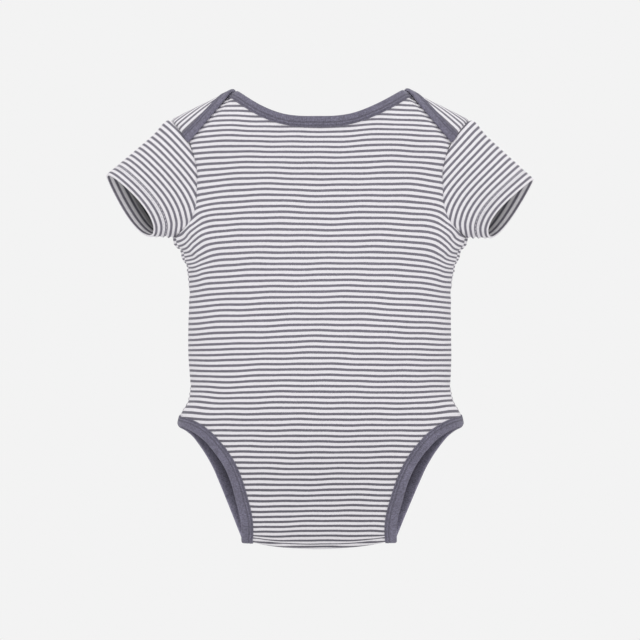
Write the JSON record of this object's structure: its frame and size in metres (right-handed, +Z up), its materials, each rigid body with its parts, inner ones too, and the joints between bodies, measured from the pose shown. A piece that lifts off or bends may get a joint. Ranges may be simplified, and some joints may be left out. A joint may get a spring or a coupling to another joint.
{
  "type": "baby onesie",
  "caption": "Short-sleeved baby onesie with lap shoulders, bound neck and leg openings and a snap crotch, in fine stripes, standing open and hollow.",
  "frame": {"origin": "midway between the two neck corners, at the height of the shoulders, where the wearer holds the garment up", "axes": "+X to the wearer's right, +Y from the back towards the front, +Z up from the crotch to the shoulders"},
  "size_m": [0.3096, 0.0847, 0.3309],
  "materials": {
    "striped_jersey": "matte",
    "binding": "matte",
    "snap_metal": "satin"
  },
  "bodies": {
    "root": {"back_panel": "striped_jersey", "front_panel": "striped_jersey", "neck_binding_back": "binding", "neck_binding_front": "binding", "sleeve_left": "striped_jersey", "leg_binding_left": "binding", "sleeve_right": "striped_jersey", "leg_binding_right": "binding", "snap_cap_1": "snap_metal", "snap_core_1": "snap_metal", "snap_ring_1": "snap_metal", "snap_cap_2": "snap_metal", "snap_core_2": "snap_metal", "snap_ring_2": "snap_metal", "snap_cap_3": "snap_metal", "snap_core_3": "snap_metal", "snap_ring_3": "snap_metal"}
  },
  "joints": []
}
